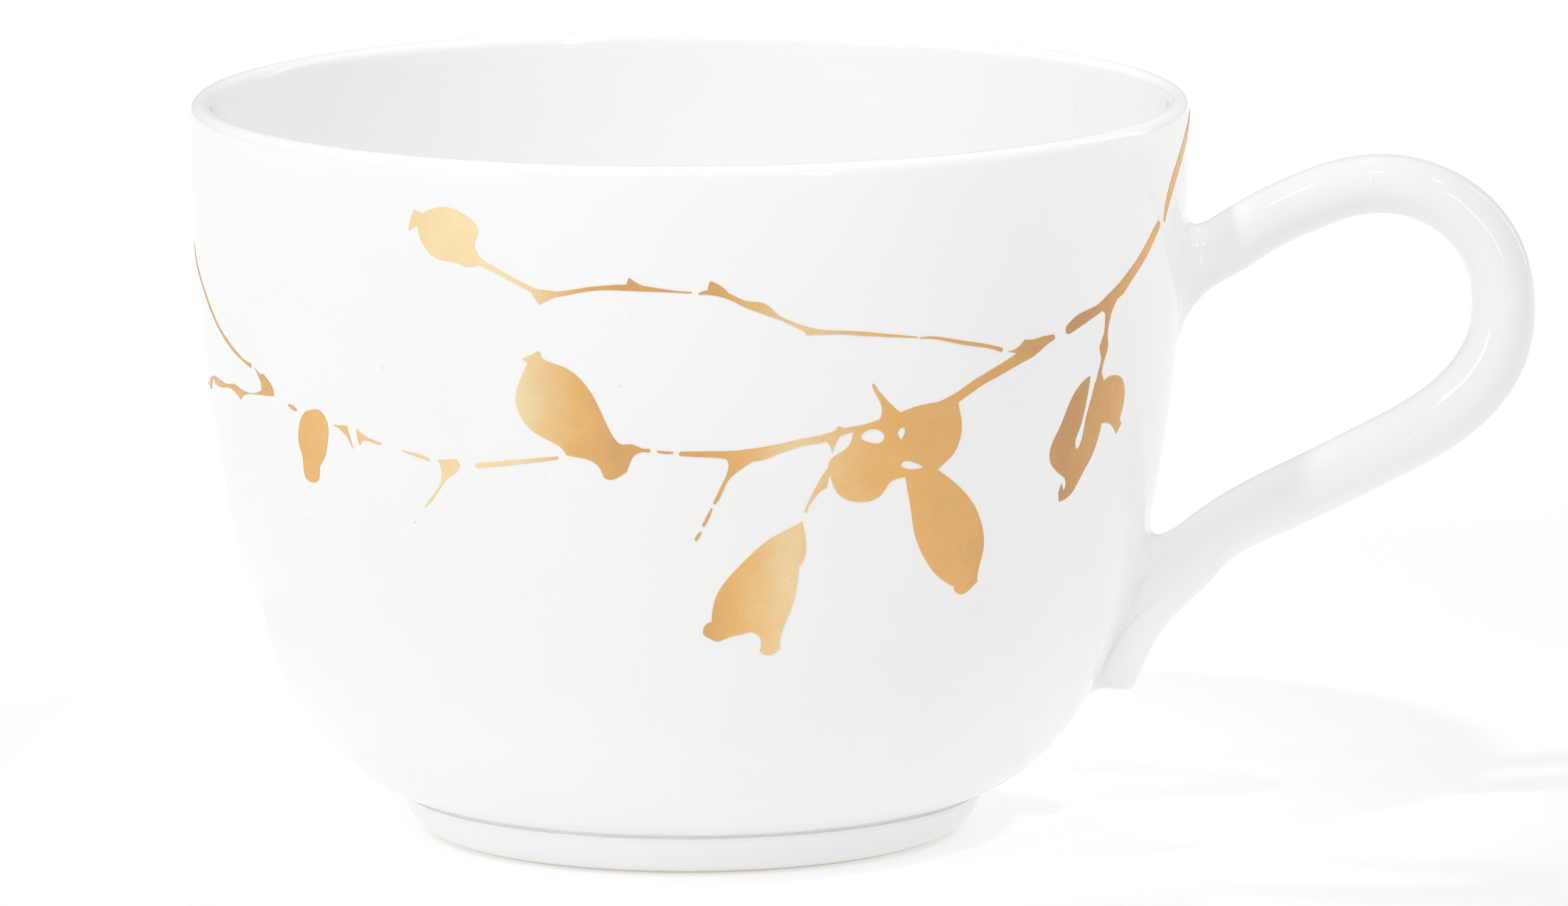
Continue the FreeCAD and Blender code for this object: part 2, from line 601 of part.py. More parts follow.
def gold_back_leaf():
    dash = twig((13.8, 40.9, 0.14), (11.8, 40.7, 0.32), (9.8, 40.9, 0.2))
    stem = twig((8.6, 41.1, 0.2), (6.2, 41.2, 0.5), (3.6, 40.4, 0.7))
    leaf = outline(
        [(4.4, 41.2), (1.6, 41.4), (-1.8, 40.4), (-4.6, 38.2), (-6.2, 35.6)],
        [(-7.6, 33.0), (-4.4, 33.0), (-1.2, 33.8), (1.6, 35.8), (3.4, 38.2)],
    )
    lay_film("gold_back_leaf", [(-106, [dash], []), (-106, [stem, leaf], [])])


def gold_back_sprig():
    branch = twig(
        (17.5, 50.2, 0.2), (14.0, 49.0, 0.45), (10.5, 48.2, 0.6), (6.8, 46.6, 0.9), (3.0, 45.4, 0.7),
        (-1.0, 44.9, 0.55), (-5.0, 43.6, 0.8), (-8.6, 42.9, 0.5), (-12.5, 42.4, 0.3),
        (-16.0, 42.6, 0.14),
    )
    thorn = outline([(9.2, 48.0), (9.6, 48.9)], [(9.5, 49.9), (10.4, 49.0)], [(11.6, 48.3)])
    fork = outline(
        [(-6.2, 43.5), (-6.3, 42.3)],
        [(-7.4, 39.9)],
        [(-7.1, 39.8), (-5.6, 41.9)],
        [(-3.6, 43.9)],
    )
    leaf = outline(
        [(6.2, 46.9), (7.8, 44.6), (8.2, 41.4), (7.2, 38.0), (5.2, 35.2)],
        [(3.4, 33.6), (2.6, 36.4), (2.4, 39.8), (3.2, 43.2)],
        [(4.6, 46.1)],
    )
    lay_film("gold_back_sprig", [(178, [branch, thorn, fork, leaf], [])])


def gold_back_bud():
    bud = spot([
        (-8.4, 38.8), (-7.3, 38.1), (-6.8, 36.6), (-7.0, 34.8), (-7.8, 33.0), (-8.9, 32.0),
        (-9.8, 32.7), (-10.0, 34.6), (-9.9, 36.6), (-9.4, 38.2),
    ])
    side_bud = spot([
        (14.4, 52.8), (15.6, 51.6), (16.9, 51.4), (18.4, 52.3), (18.6, 53.9), (17.2, 54.9),
        (15.4, 54.4),
    ])
    lay_film("gold_back_bud", [(178, [bud], []), (178, [side_bud], [])])


def main():
    save("cup_bowl", make_bowl())
    save("foot_ring", make_foot_ring())
    save("foot_slip_joint", make_foot_slip())
    stations = handle_stations()
    handle = make_handle(stations)
    save("handle", handle)
    last = len(stations) - 1
    save("upper_slip_joint", make_slip_joint(stations, handle, 0, 3))
    save("lower_slip_joint", make_slip_joint(stations, handle, last - 5, last, bead_width))
    for lay in (
        gold_upper_twig_left, gold_upper_twig_right, gold_main_branch, gold_lower_leaf, gold_left_berry,
        gold_left_stem, gold_left_spur, gold_broken_stem, gold_left_bud, gold_side_twig_lower,
        gold_side_twig_upper, gold_fork_dashes, gold_rim_branch, gold_right_branch, gold_back_berry,
        gold_back_leaf, gold_back_sprig, gold_back_bud,
    ):
        lay()


main()
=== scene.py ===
import math

import bpy
import numpy as np
from mathutils import Matrix, Vector


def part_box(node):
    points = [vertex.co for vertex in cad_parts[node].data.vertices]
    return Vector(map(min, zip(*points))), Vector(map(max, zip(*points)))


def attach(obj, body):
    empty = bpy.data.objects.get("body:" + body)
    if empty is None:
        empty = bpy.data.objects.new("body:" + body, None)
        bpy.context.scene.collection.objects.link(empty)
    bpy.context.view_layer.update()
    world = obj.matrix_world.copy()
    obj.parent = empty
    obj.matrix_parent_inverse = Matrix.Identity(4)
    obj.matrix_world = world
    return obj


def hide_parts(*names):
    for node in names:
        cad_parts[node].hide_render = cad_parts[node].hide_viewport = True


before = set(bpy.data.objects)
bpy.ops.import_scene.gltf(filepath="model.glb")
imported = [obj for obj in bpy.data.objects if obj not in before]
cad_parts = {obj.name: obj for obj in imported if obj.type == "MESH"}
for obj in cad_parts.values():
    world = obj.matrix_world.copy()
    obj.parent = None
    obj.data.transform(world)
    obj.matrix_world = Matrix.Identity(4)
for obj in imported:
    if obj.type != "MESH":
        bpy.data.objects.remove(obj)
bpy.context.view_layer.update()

print("frame loaded:", len(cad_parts), "nodes")

# Shapes are worked out in millimetres, with the cup's axis on X = Y = 0, and go into their meshes in metres.
# The handle reaches out along +X and the front of the cup faces -Y.
metres = 0.001                 # in one millimetre
bowlHigh = np.array(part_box("cup_bowl")[1]) / metres


# Mesh tools
def makePiece(name, points, faces, node, material):
    # One object at the origin from rows of points in millimetres and lists of corners. It takes the place of
    # the named CAD nodes.
    mesh = bpy.data.meshes.new(name)
    mesh.from_pydata((np.asarray(points) * metres).tolist(), [], faces)
    mesh.polygons.foreach_set("use_smooth", np.ones(len(mesh.polygons), bool))
    mesh.update()
    piece = bpy.data.objects.new(name, mesh)
    bpy.context.scene.collection.objects.link(piece)
    piece.data.materials.append(material)
    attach(piece, "root")
    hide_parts(*node)
    print("made", name, "with", len(mesh.polygons), "faces")


def gridFaces(rows, columns, first=0):
    # Quads between neighbouring rows of a grid whose columns close round on themselves.
    row, column = np.meshgrid(np.arange(rows - 1), np.arange(columns), indexing="ij")
    here = first + row * columns + column
    beside = first + row * columns + (column + 1) % columns
    return np.stack([here, beside, beside + columns, here + columns], -1).reshape(-1, 4).tolist()


def fanFaces(ring, pole, columns, reverse=False):
    # Triangles from a closed row of points, whose first is number ring, to one pole.
    here = ring + np.arange(columns)
    beside = ring + (np.arange(columns) + 1) % columns
    corners = [here, np.full(columns, pole), beside] if reverse else [here, beside, np.full(columns, pole)]
    return np.stack(corners, -1).tolist()


def softCorners(corners, sizes, steps=8):
    # Profile through the corners, each one replaced by a quadratic curve that starts its size before the
    # corner and ends its size after it.
    points = [corners[0]]
    t = np.linspace(0, 1, steps)[:, None]
    for before, corner, after, size in zip(corners[:-2], corners[1:-1], corners[2:], sizes):
        if size == 0:
            points.append(corner)
            continue
        start = corner + (before - corner) * min(0.45, size / np.linalg.norm(before - corner))
        end = corner + (after - corner) * min(0.45, size / np.linalg.norm(after - corner))
        points += list((1 - t) ** 2 * start + 2 * t * (1 - t) * corner + t ** 2 * end)
    return np.array(points + [corners[-1]])


def turned(profile, segments):
    # Closed surface of revolution: each profile point (radius, height) is carried round the axis. The
    # profile's ends lie on the axis, and become the two poles.
    angle = 2 * math.pi * np.arange(segments) / segments
    radius, height = profile[1:-1, 0:1], profile[1:-1, 1:2]
    rings = np.stack([radius * np.cos(angle), radius * np.sin(angle), height + 0 * angle], -1)
    poles = np.array([[0, 0, profile[0, 1]], [0, 0, profile[-1, 1]]])
    points = np.vstack([rings.reshape(-1, 3), poles])
    rows = len(profile) - 2
    faces = gridFaces(rows, segments)
    faces += fanFaces(0, rows * segments, segments, reverse=True)
    faces += fanFaces((rows - 1) * segments, rows * segments + 1, segments)
    return points, faces


def turnedRing(profile, segments):
    # Closed ring: the profile's last point joins up with its first.
    angle = 2 * math.pi * np.arange(segments) / segments
    loop = np.vstack([profile, profile[:1]])
    radius, height = loop[:, 0:1], loop[:, 1:2]
    rings = np.stack([radius * np.cos(angle), radius * np.sin(angle), height + 0 * angle], -1)
    points = rings[:-1].reshape(-1, 3)
    faces = np.array(gridFaces(len(loop), segments)) % len(points)
    return points, faces.tolist()


def splineThrough(knots, values, places):
    # Natural cubic spline: straight shares of the two nearest values, plus cubic terms whose second
    # derivatives make the slope run on without a break at every knot.
    knots, values = np.asarray(knots, float), np.asarray(values, float)
    span = np.diff(knots)
    count = len(knots)
    system = np.eye(count)
    right = np.zeros(count)
    inner = np.arange(1, count - 1)
    system[inner, inner - 1] = span[:-1]
    system[inner, inner] = 2 * (span[:-1] + span[1:])
    system[inner, inner + 1] = span[1:]
    right[1:-1] = 6 * np.diff(np.diff(values) / span)
    bend = np.linalg.solve(system, right)
    piece = np.clip(np.searchsorted(knots, places) - 1, 0, count - 2)
    a = (knots[piece + 1] - places) / span[piece]
    b = 1 - a
    straight = a * values[piece] + b * values[piece + 1]
    cubic = (a ** 3 - a) * bend[piece] + (b ** 3 - b) * bend[piece + 1]
    return straight + cubic * span[piece] ** 2 / 6


# The bowl's two curves
bowl = {
    "lipThickness": 1.95,
    "outer": {"floor": 2.4, "bend": 1.85, "square": 5.8},
    "inner": {"floor": 6.6, "bend": 1.5, "square": 6.9},
    "seat": 3.95,              # crease over the foot ring
    "creaseRound": 0.12,
    "baseHeight": 3.2,
    "baseRise": 0.35,
    "footInside": 19.4,
    "segments": 512,
    "innerRows": 56,
    "outerRows": 70,
    "lipRows": 15,
    "baseRows": 12,
}
rimRadius = bowlHigh[0]
lipBase = bowlHigh[2] - bowl["lipThickness"] / 2


def curveShare(height, shape):
    # Share of the rim's radius = (1 - drop^bend)^(1/square), where drop is the depth below the lip's base
    # as a share of the depth of the curve's floor.
    drop = np.clip((lipBase - height) / (lipBase - shape["floor"]), 0, 1)
    return (1 - drop ** shape["bend"]) ** (1 / shape["square"])


def curveHeight(share, shape):
    # The same curve solved for the height at which it has this share of the radius.
    depth = np.clip(1 - share ** shape["square"], 0, 1) ** (1 / shape["bend"])
    return lipBase - (lipBase - shape["floor"]) * depth


def wallRadius(height):
    return rimRadius * curveShare(height, bowl["outer"])


def bowlProfile():
    # Up the inner curve from the axis, over the half-round lip, down the outer curve to the crease, and in
    # along the underside of the base, which rises a little towards the axis.
    insideRadius = rimRadius - bowl["lipThickness"]
    share = np.sin(np.linspace(0, math.pi / 2, bowl["innerRows"]))
    inner = np.stack([insideRadius * share, curveHeight(share, bowl["inner"])], -1)
    turn = np.linspace(math.pi, 0, bowl["lipRows"])[1:-1]
    half = bowl["lipThickness"] / 2
    lip = np.stack([rimRadius - half + half * np.cos(turn), lipBase + half * np.sin(turn)], -1)
    lowest = math.asin(curveShare(bowl["seat"], bowl["outer"]))
    share = np.sin(np.linspace(math.pi / 2, lowest, bowl["outerRows"]))
    outer = np.stack([rimRadius * share, curveHeight(share, bowl["outer"])], -1)
    seatInside = np.array([bowl["footInside"], bowl["seat"]])
    crease = softCorners(np.array([outer[-2], outer[-1], seatInside]), [bowl["creaseRound"]])[1:-1]
    inward = np.linspace(1, 0, bowl["baseRows"])[:, None]
    rise = bowl["baseHeight"] + bowl["baseRise"] * (1 - inward ** 2)
    underside = np.hstack([bowl["footInside"] * inward, rise])
    return np.vstack([inner, lip, outer[:-1], crease, seatInside, underside])


# The foot ring, with the slip that fills its seam
ring = {
    "slip": 0.2,
    "slipRecess": 0.15,
    "ledgeHeight": 0.5,
    "ledgeStep": 0.12,
    "bulge": 0.5,
    "rimWidth": 2.1,
    "rimRadius": 22.9,
    "edgeRound": 0.4,
    "ledgeRound": 0.12,
    "gap": 0.01,               # keeps the slip's top face clear of the bowl's seat
    "wallRows": 18,
    "segments": 512,
}


def ringProfile():
    # Down the outside: slip, ledge, a wall that swells out as a parabola, the flat standing rim with its
    # rounded edges, and up the cone inside.
    crease = wallRadius(bowl["seat"])
    top = bowl["seat"] - ring["slip"]
    ledgeFoot = top - ring["ledgeHeight"]
    wallTop = np.array([crease - ring["ledgeStep"], ledgeFoot])
    wallFoot = np.array([ring["rimRadius"], 0.0])
    down = np.linspace(0, 1, ring["wallRows"])[1:-1, None]
    wall = wallTop + (wallFoot - wallTop) * down + np.array([1, -1]) * ring["bulge"] * 4 * down * (1 - down)
    inside = bowl["footInside"]
    slipTop = bowl["seat"] - ring["gap"]
    slipEdge = crease - ring["slipRecess"]
    corners = np.vstack([
        [inside, slipTop],
        [slipEdge, slipTop],
        [slipEdge, top],
        [crease, top],
        [crease, ledgeFoot],
        wallTop,
        wall,
        wallFoot,
        [ring["rimRadius"] - ring["rimWidth"], 0.0],
        [inside, top],
    ])
    soft = ring["ledgeRound"]
    edge = ring["edgeRound"]
    sizes = [0, soft / 2, soft, soft, soft / 2] + [0] * len(wall) + [edge, edge, 0]
    return softCorners(corners, sizes)[::-1]


# The handle
handle = {
    "halfHeight": 2.75,        # of the rod, across it in the handle's plane
    "halfWidth": 3.0,          # of the rod, along Y
    "lowerRoot": 26.0,         # height at which the lower arm reaches its root
    "upperRootShare": 0.7373,  # of the way from there to the top
    "standoff": 31.2,          # outermost point, past the rim's radius
    "top": 61.3,               # highest point
    # The loop: how far out and how high, as shares of the way to its outermost and highest points, and how
    # full the rod is there.
    "loop": [
        (0.11, 0.825, 1.0), (0.22, 0.885, 0.98), (0.375, 0.95, 0.98), (0.535, 0.993, 0.97),
        (0.69, 0.99, 0.97), (0.86, 0.92, 0.99), (0.96, 0.81, 1.01), (0.996, 0.665, 1.04),
        (0.967, 0.52, 1.08), (0.85, 0.382, 1.08), (0.62, 0.255, 1.06), (0.37, 0.147, 1.05),
        (0.21, 0.08, 1.02),
    ],
    "leanFrom": 0.85,          # share of the sweep's length from which its lines lean in to the wall
    "lean": 0.95,              # how far they lean, in radians
    "toeNose": 0.9,            # how far the toe runs on past its last station while it closes
    "toeDive": 2.6,            # how far its middle sinks into the wall on the way
    "toeEnd": 0.2,             # share of its size that is left at the very end
    "upperFillet": 2.2,
    "lowerFillet": 1.3,
    "cornerFillet": 5.0,       # in the sharp corner on top of the lower root
    "cornerReach": 3.0,        # height over which that fillet fades
    "toeFillet": 2.2,
    "toeReach": 5.0,
    "sweepSteps": 1500,
    "closeSteps": 60,
    "rows": 260,
    "filletRows": 12,
    "around": 96,
    "buried": 0.8,             # how deep the closed ends lie inside the wall
}


def handleStations():
    # The centreline's points (x, z) with the half height and half width of the oval there: the upper root
    # leaves the wall as a tall oval, the rod follows the loop, and the lower root thins out as a tongue.
    reach = handle["standoff"] - handle["halfHeight"]
    low = handle["lowerRoot"]
    rise = handle["top"] - handle["halfHeight"] - low
    high = low + rise * handle["upperRootShare"]
    tall, wide = handle["halfHeight"], handle["halfWidth"]
    root = [
        (wallRadius(high) - 4.0, high - 0.8, tall + 4.0, wide + 1.6),
        (wallRadius(high) + 0.9, high + 1.35, tall + 0.2, wide + 0.5),
    ]
    rod = [(rimRadius + reach * out, low + rise * up, tall * full, wide * full)
           for out, up, full in handle["loop"]]
    tongue = [
        (wallRadius(low) + 6.3, low + 0.4, tall - 0.08, wide + 0.05),
        (wallRadius(low - 2.3) + 3.95, low - 2.25, tall + 0.2, wide + 0.2),
        (wallRadius(low - 5) + 1.7, low - 5.0, tall + 0.3, wide + 0.3),
        (wallRadius(low - 9.7) + 0.8, low - 9.7, tall, wide),
        (wallRadius(low - 12.4) + 1.05, low - 12.7, tall - 0.3, wide - 0.5),
    ]
    return np.array(root + rod + tongue, float)


def handleSurface():
    # Sweep: point = centre + across * halfHeight * cos(turn) + side * halfWidth * sin(turn), with the centre
    # and the two half sizes on splines through the stations. Past the last station the toe closes as a
    # quarter round: its size falls with a cosine while its middle runs on with a sine and dives inwards.
    # Beside the lower root every turn loses lean * sin(turn), so that the lines there run down into the wall.
    stations = handleStations()
    knots = np.concatenate([[0], np.cumsum(np.linalg.norm(np.diff(stations[:, :2], axis=0), axis=1))])
    places = np.linspace(0, knots[-1], handle["sweepSteps"])
    x, z, tall, wide = [splineThrough(knots, stations[:, i], places) for i in range(4)]
    centre = np.stack([x, 0 * x, z], -1)
    along = np.gradient(centre, axis=0)
    along /= np.linalg.norm(along, axis=1)[:, None]
    quarter = np.linspace(0, math.pi / 2, handle["closeSteps"])[1:]
    across = np.cross([0.0, 1.0, 0.0], along[-1])
    closing = centre[-1] + handle["toeNose"] * np.sin(quarter)[:, None] * along[-1]
    closing += handle["toeDive"] * (1 - np.cos(quarter))[:, None] * across
    size = handle["toeEnd"] + (1 - handle["toeEnd"]) * np.cos(quarter)
    centre = np.vstack([centre, closing])
    along = np.vstack([along, np.repeat(along[-1:], len(quarter), 0)])
    tall = np.concatenate([tall, tall[-1] * size])
    wide = np.concatenate([wide, wide[-1] * size])
    across = np.cross([0.0, 1.0, 0.0], along)
    share = np.clip((places / knots[-1] - handle["leanFrom"]) / (1 - handle["leanFrom"]), 0, 1)
    lean = handle["lean"] * np.concatenate([share, np.ones(len(quarter))])
    turn = 2 * math.pi * np.arange(handle["around"]) / handle["around"]
    turn = turn - lean[:, None] * np.sin(turn)
    upDown = across[:, None, :] * (tall[:, None] * np.cos(turn))[..., None]
    sideways = np.array([0.0, 1.0, 0.0]) * (wide[:, None] * np.sin(turn))[..., None]
    return centre[:, None, :] + upDown + sideways


def outsideWall(points):
    # How far outside the bowl's outer curve each point is, measured level.
    return np.hypot(points[..., 0], points[..., 1]) - wallRadius(points[..., 2])


def ontoWall(points, depth=0.0):
    # Points moved level onto the bowl's outer curve, or that depth inside it.
    flat = np.hypot(points[..., 0], points[..., 1])
    scale = (wallRadius(points[..., 2]) - depth) / flat
    return np.stack([points[..., 0] * scale, points[..., 1] * scale, points[..., 2]], -1)


def wallNormal(points):
    # Outward normal of the bowl: level direction from the axis, tipped by the curve's slope.
    step = 0.01
    slope = (wallRadius(points[..., 2] + step) - wallRadius(points[..., 2] - step)) / (2 * step)
    flat = np.hypot(points[..., 0], points[..., 1])
    normal = np.stack([points[..., 0] / flat, points[..., 1] / flat, -slope], -1)
    return normal / np.linalg.norm(normal, axis=-1, keepdims=True)


def atLength(lines, lengths, wanted):
    # The point of each line at the wanted length along it, by straight steps between its points.
    index = np.array([np.searchsorted(lengths[:, j], wanted[j]) for j in range(lengths.shape[1])])
    index = np.clip(index, 1, len(lengths) - 1)
    column = np.arange(lengths.shape[1])
    before, after = lengths[index - 1, column], lengths[index, column]
    share = ((wanted - before) / np.maximum(after - before, 1e-9))[:, None]
    return lines[index - 1, column] * (1 - share) + lines[index, column] * share


def wallFoot(edge, size):
    # Where a fillet of this size ends on the wall: the edge moved along the wall, square to itself and away
    # from the root's middle.
    tangent = np.roll(edge, -1, 0) - np.roll(edge, 1, 0)
    tangent /= np.linalg.norm(tangent, axis=1)[:, None]
    outward = np.cross(tangent, wallNormal(edge))
    middle = edge.mean(0)
    if np.sum(outward * (edge - middle)) < 0:
        outward = -outward
    return ontoWall(edge + outward * size[:, None])


def handleGrid():
    # The sweep's lines, cut where they pass through the wall. At both ends a quadratic curve leads from the
    # line to the wall: it leaves the line a fillet's length before the cut and lands as far out on the wall.
    lines = handleSurface()
    lengths = np.concatenate([np.zeros((1, lines.shape[1])),
                              np.cumsum(np.linalg.norm(np.diff(lines, axis=0), axis=2), axis=0)])
    outside = outsideWall(lines)
    middle = len(lines) // 2
    column = np.arange(lines.shape[1])

    def crossing(before, after):
        # Length at which each line meets the wall, by a straight step between two of its points.
        share = outside[before, column] / (outside[before, column] - outside[after, column])
        return lengths[before, column] * (1 - share) + lengths[after, column] * share

    lastInside = middle - 1 - np.argmax(outside[:middle][::-1] < 0, axis=0)
    firstInside = middle + np.argmax(outside[middle:] < 0, axis=0)
    start = crossing(lastInside, lastInside + 1)
    end = crossing(firstInside - 1, firstInside)
    startEdge, endEdge = atLength(lines, lengths, start), atLength(lines, lengths, end)
    startSize = np.full(len(column), handle["upperFillet"])
    height = endEdge[:, 2]
    low = np.clip(1 - (height - height.min()) / handle["toeReach"], 0, 1)
    high = np.clip(1 - (height.max() - height) / handle["cornerReach"], 0, 1)
    endSize = handle["lowerFillet"] + (handle["toeFillet"] - handle["lowerFillet"]) * low
    endSize += (handle["cornerFillet"] - handle["lowerFillet"]) * high
    t = np.linspace(0, 1, handle["filletRows"])[:, None, None]
    rows = []
    leave = atLength(lines, lengths, start + startSize)
    foot = wallFoot(startEdge, startSize)
    rows.append((1 - t) ** 2 * foot + 2 * t * (1 - t) * startEdge + t ** 2 * leave)
    share = np.linspace(0, 1, handle["rows"])[1:-1]
    first, last = start + startSize, end - endSize
    rows.append(np.array([atLength(lines, lengths, first + (last - first) * s) for s in share]))
    leave = atLength(lines, lengths, end - endSize)
    foot = wallFoot(endEdge, endSize)
    rows.append(((1 - t) ** 2 * foot + 2 * t * (1 - t) * endEdge + t ** 2 * leave)[::-1])
    grid = np.concatenate(rows)
    firstRow = ontoWall(grid[:1], handle["buried"])
    lastRow = ontoWall(grid[-1:], handle["buried"])
    return np.concatenate([firstRow, grid, lastRow])


def handleMesh():
    # The grid's quads, and a fan of triangles that closes each end inside the wall.
    grid = handleGrid()
    rows, columns = grid.shape[:2]
    poles = np.stack([grid[0].mean(0), grid[-1].mean(0)])
    points = np.vstack([grid.reshape(-1, 3), poles])
    faces = gridFaces(rows, columns)
    faces += fanFaces(0, rows * columns, columns, reverse=True)
    faces += fanFaces((rows - 1) * columns, rows * columns + 1, columns)
    return points, faces


# Shader tools
class Wire:
    # Wraps a shader socket, so that arithmetic on it adds Math nodes.
    def __init__(self, tree, socket=None):
        self.tree = tree
        self.socket = socket

    def node(self, kind, settings, inputs, output=0):
        # Any node: its settings first, then the values or links of its sockets.
        made = self.tree.nodes.new(kind)
        for key, value in settings.items():
            if key == "stops":
                fillRamp(made.color_ramp, value)
            else:
                setattr(made, key, value)
        for key, value in inputs.items():
            if isinstance(value, Wire):
                self.tree.links.new(value.socket, made.inputs[key])
            else:
                made.inputs[key].default_value = value
        return Wire(self.tree, made.outputs[output] if made.outputs else None)

    def math(self, operation, first, second):
        return self.node("ShaderNodeMath", {"operation": operation}, {0: first, 1: second})

    def __add__(self, other):
        return self.math("ADD", self, other)

    def __radd__(self, other):
        return self.math("ADD", other, self)

    def __sub__(self, other):
        return self.math("SUBTRACT", self, other)

    def __rsub__(self, other):
        return self.math("SUBTRACT", other, self)

    def __mul__(self, other):
        return self.math("MULTIPLY", self, other)

    def __rmul__(self, other):
        return self.math("MULTIPLY", other, self)


def fillRamp(ramp, stops):
    while len(ramp.elements) < len(stops):
        ramp.elements.new(0.5)
    for element, (place, shade) in zip(ramp.elements, stops):
        element.position = place
        element.color = (shade, shade, shade, 1)


def newMaterial(name):
    material = bpy.data.materials.new(name)
    material.use_nodes = True
    material.node_tree.nodes.clear()
    return material, Wire(material.node_tree)


def finishMaterial(wires, sockets):
    # The surface shader and the output node.
    surface = wires.node("ShaderNodeBsdfPrincipled", {}, sockets)
    wires.node("ShaderNodeOutputMaterial", {}, {"Surface": surface})


def noise(wires, place, scale, detail=2.0, roughness=0.5):
    # Noise of about 1/scale millimetres across, 0 to 1.
    return wires.node("ShaderNodeTexNoise", {"noise_dimensions": "3D"},
                      {"Vector": place, "Scale": scale, "Detail": detail, "Roughness": roughness})


def fade(wires, value, start, end):
    # 0 at the start, 1 at the end, eased in between.
    return wires.node("ShaderNodeMapRange", {"interpolation_type": "SMOOTHSTEP"},
                      {"Value": value, "From Min": start, "From Max": end})


def mixColour(wires, factor, first, second):
    return wires.node("ShaderNodeMix", {"data_type": "RGBA"}, {0: factor, 6: first, 7: second}, 2)


def placeInMillimetres(wires):
    where = wires.node("ShaderNodeTexCoord", {}, {}, "Object")
    return wires.node("ShaderNodeVectorMath", {"operation": "SCALE"}, {0: where, "Scale": 1 / metres})


def alongAxis(wires, place, axis):
    # How far a place lies in one direction.
    return wires.node("ShaderNodeVectorMath", {"operation": "DOT_PRODUCT"}, {0: place, 1: axis}, "Value")


glaze = {
    "white": (0.95, 0.95, 0.945, 1),
    "warm": (0.94, 0.935, 0.925, 1),
    # darker grey, used towards the bottom
    "lowDarkening": (0.865, 0.865, 0.855, 1),
    "speck": (0.52, 0.46, 0.38, 1),
    "bare": (0.74, 0.70, 0.63, 1),
    "worn": (0.55, 0.50, 0.43, 1),
}


def glazeMaterial(name, darkeningLow, darkeningHigh, bareBelow):
    # Glazed porcelain. Colour = white, drifting to warm with slow noise, to a darker grey towards the bottom
    # (full below the first height given, gone above the second), with rare specks. Gloss = almost clear, a
    # little duller in patches.
    # Bump = an orange-peel ripple with finer ripples on it. Below bareBelow the body is bare, dull and
    # grainy.
    material, wires = newMaterial(name)
    place = placeInMillimetres(wires)
    height = alongAxis(wires, place, (0, 0, 1))
    slow = noise(wires, place, 0.045, 2.0)
    peel = noise(wires, place, 0.42, 1.0)
    fine = noise(wires, place, 2.6, 2.0)
    grain = noise(wires, place, 9.0, 2.0)
    # darker towards the bottom: full below the first height, fading out by the second
    lowDarkening = 1 - fade(wires, height, darkeningLow, darkeningHigh)
    speck = fade(wires, noise(wires, place, 1.7, 1.0), 0.80, 0.86)
    colour = mixColour(wires, fade(wires, slow, 0.35, 0.75), glaze["white"], glaze["warm"])
    colour = mixColour(wires, lowDarkening * 0.8, colour, glaze["lowDarkening"])
    colour = mixColour(wires, speck * 0.5, colour, glaze["speck"])
    bare = 1 - fade(wires, height + (fine - 0.5) * 0.25, bareBelow, bareBelow + 0.12)
    biscuit = mixColour(wires, fade(wires, grain, 0.45, 0.7), glaze["bare"], glaze["worn"])
    colour = mixColour(wires, bare, colour, biscuit)
    roughness = 0.05 + fade(wires, slow, 0.4, 0.8) * 0.05 + bare * 0.55
    ripple = peel * 0.75 + fine * 0.12 * (1 - bare) + grain * bare * 1.4
    bump = wires.node("ShaderNodeBump", {}, {"Strength": 0.35, "Distance": 0.03 * metres, "Height": ripple})
    finishMaterial(wires, {"Base Color": colour, "Roughness": roughness, "Normal": bump, "IOR": 1.5})
    return material


gold = {
    "pale": (0.96, 0.79, 0.475, 1),
    "rich": (0.89, 0.525, 0.20, 1),
    # painted shade: the darkest gold, standing for gold in shade
    "paintedShadeGold": (0.615, 0.36, 0.168, 1),
    "grain": (0.50, 0.29, 0.12, 1),
    # Painted reflection and shade: where round the bowl, with the front at a half and the handle at three
    # quarters, and the tone there: pale at 0, rich at a half, the painted shade at 1. These tones stand for
    # brighter and darker reflections of the studio, painted into the colour.
    "round": [(0.335, 0.66), (0.37, 0.45), (0.408, 0.09), (0.445, 0.0), (0.463, 0.46), (0.478, 0.71),
              (0.508, 0.65), (0.534, 0.15), (0.566, 0.53), (0.595, 0.62), (0.64, 1.0), (0.685, 0.6)],
}


